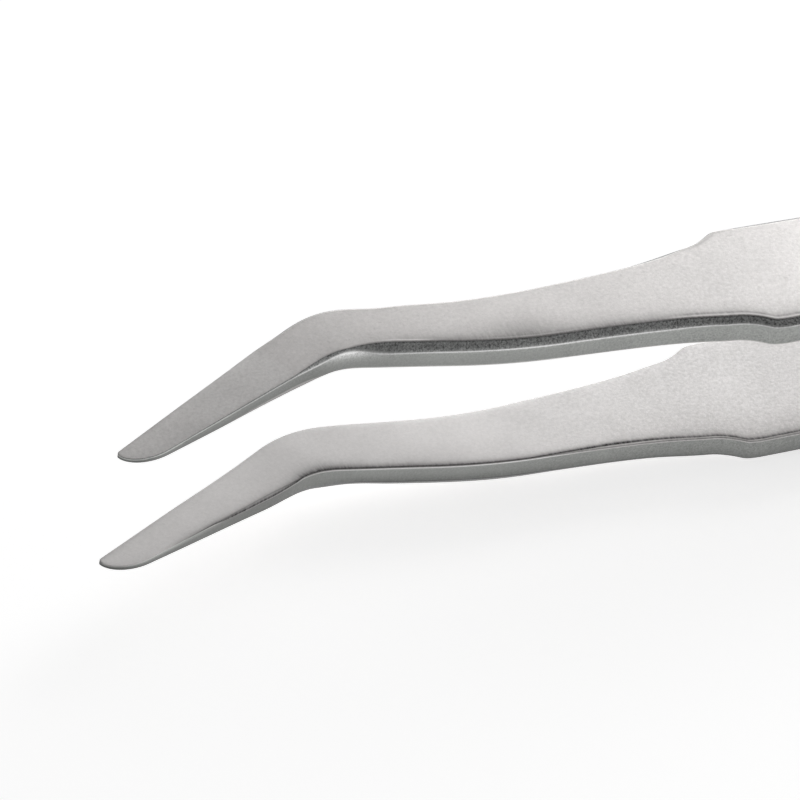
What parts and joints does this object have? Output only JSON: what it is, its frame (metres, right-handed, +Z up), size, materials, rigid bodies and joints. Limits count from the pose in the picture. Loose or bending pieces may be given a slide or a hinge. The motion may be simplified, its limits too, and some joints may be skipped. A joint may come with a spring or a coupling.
{
  "type": "anti-static tweezers",
  "caption": "Fine steel tweezers with flat thin tips bent to one side, slim necks, wide bevelled grips and mirrored legs joined at the tail.",
  "frame": {"origin": "centre of the bounding box in plan, at the level of the surface that the tweezers lie on", "axes": "+X from the tips to the tail, +Z up from the table, which is nearly the direction in which the legs open, and the tips bend towards -Y"},
  "size_m": [0.12, 0.0092, 0.012],
  "materials": {
    "steel": "satin, bead-blasted faces and ground edges"
  },
  "bodies": {
    "root": {"upper_leg": "steel", "lower_leg": "steel"}
  },
  "joints": []
}
